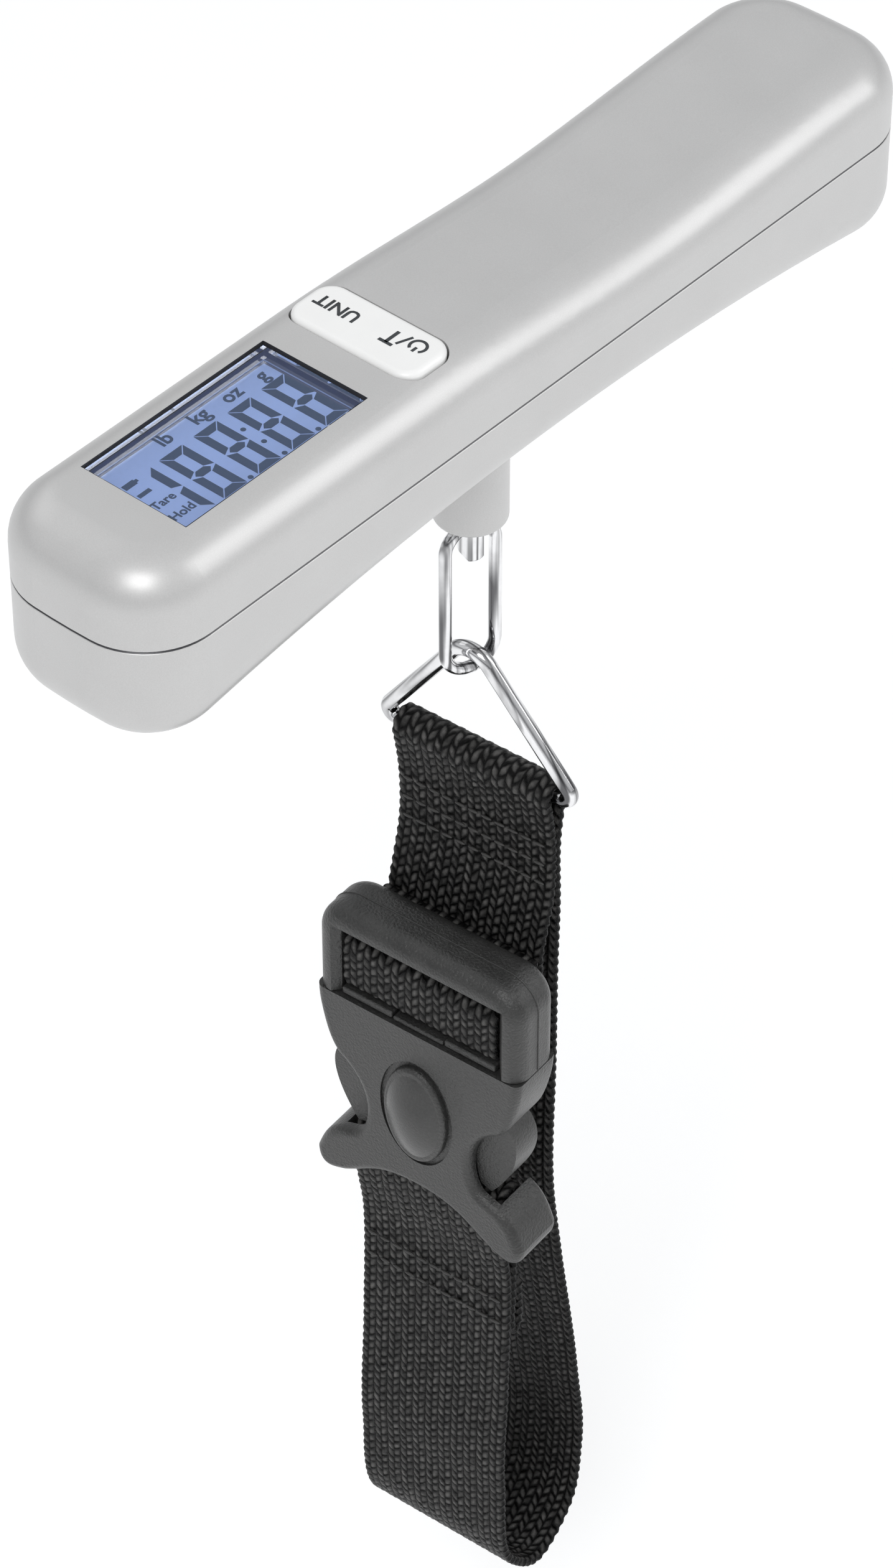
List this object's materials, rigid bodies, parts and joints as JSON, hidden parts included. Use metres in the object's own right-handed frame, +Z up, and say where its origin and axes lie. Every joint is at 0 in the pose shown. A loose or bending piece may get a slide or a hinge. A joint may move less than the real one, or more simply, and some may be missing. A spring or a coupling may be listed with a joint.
{
  "type": "digital luggage scale",
  "caption": "Hand-held digital luggage scale: silver grip handle with display and rocker button, chain link, triangle ring and a webbing loop closed by a side-release buckle.",
  "frame": {"origin": "on the load line, the vertical line through the load eye, at the height of the handle's parting line", "axes": "+Z up along the load line, +X along the handle away from the display, +Y across the handle"},
  "size_m": [0.144, 0.0356, 0.236],
  "materials": {
    "casing": "satin pearl silver paint on moulded plastic",
    "zinc_steel": "zinc plated",
    "window": "clear polished acrylic",
    "lcd_glass": "liquid crystal cell, blue lit",
    "light_guide": "clear light guide",
    "black_plastic": "moulded",
    "zebra": "silicone with carbon layers",
    "board": "green solder mask",
    "button": "white, fine satin",
    "cell_jacket": "shrink sleeve",
    "spring_steel": "nickel plated",
    "load_cell": "milled",
    "gauge_resin": "white silicone sealant",
    "plated_steel": "nickel plated, turned",
    "lead_jacket": "sleeved four-core lead",
    "chrome": "bright plated wire",
    "webbing": "coarse woven polypropylene, charcoal",
    "buckle": "fine spark-textured acetal"
  },
  "bodies": {
    "handle": {"upper_shell": "casing", "lower_shell": "casing", "casing_screws": "zinc_steel", "display_window": "window", "display_glass": "lcd_glass", "display_backlight": "light_guide", "display_frame": "black_plastic", "zebra_strips": "zebra", "circuit_board": "board", "board_chips": "black_plastic", "key_switches": "black_plastic", "battery_cells": "cell_jacket", "battery_plates": "spring_steel", "battery_springs": "spring_steel", "load_cell": "load_cell", "strain_gauges": "gauge_resin", "load_cell_screws": "zinc_steel", "load_eye": "plated_steel", "eye_nut": "zinc_steel", "sensor_lead": "lead_jacket"},
    "rocker": {"rocker_button": "button"},
    "battery_door": {"battery_cover": "casing"},
    "link": {"chain_link": "chrome"},
    "ring": {"triangle_ring": "chrome"},
    "strap": {"strap_upper": "webbing", "buckle_frame": "buckle"},
    "latch_left": {"latch_arm_left": "buckle"},
    "latch_right": {"latch_arm_right": "buckle"},
    "housing": {"buckle_housing": "buckle", "strap_loop": "webbing"}
  },
  "joints": [
    {"name": "rocker_tilt", "type": "hinge", "parent": "handle", "child": "rocker", "pos_m": [-0.0187, 0, 0.0082], "axis": [1, 0, 0], "range_deg": [-2.5, 2.5], "stiffness_Nm_per_rad": 0.05},
    {"name": "battery_door_swing", "type": "hinge", "parent": "handle", "child": "battery_door", "pos_m": [-0.065, 0, -0.01623], "axis": [0, 1, 0], "range_deg": [0, 70]},
    {"name": "link_swing", "type": "hinge", "parent": "handle", "child": "link", "pos_m": [0, 0, -0.0304], "axis": [0.9511, -0.309, 0], "range_deg": [-70, 70]},
    {"name": "ring_swing", "type": "hinge", "parent": "link", "child": "ring", "pos_m": [0.00025, 0.00002, -0.0517], "axis": [-0.075, 0.9972, 0], "range_deg": [-40, 40]},
    {"name": "strap_swing", "type": "hinge", "parent": "ring", "child": "strap", "pos_m": [0.00219, 0.00016, -0.0716], "axis": [-0.075, 0.9972, 0], "range_deg": [-75, 75]},
    {"name": "latch_left_squeeze", "type": "hinge", "parent": "strap", "child": "latch_left", "pos_m": [-0.0082, 0.00901, -0.116], "axis": [0.9972, 0.075, 0], "range_deg": [-9, 0], "stiffness_Nm_per_rad": 0.4},
    {"name": "latch_right_squeeze", "type": "hinge", "parent": "strap", "child": "latch_right", "pos_m": [-0.00676, -0.01013, -0.116], "axis": [0.9972, 0.075, 0], "range_deg": [0, 9], "stiffness_Nm_per_rad": 0.4},
    {"name": "buckle_release", "type": "slide", "parent": "strap", "child": "housing", "axis": [0, 0, -1], "range_m": [0, 0.024], "deforming": ["latch_arm_left", "latch_arm_right"]}
  ],
  "couplings": [
    {"joint": "latch_right_squeeze", "follows": "latch_left_squeeze", "ratio": -1}
  ]
}
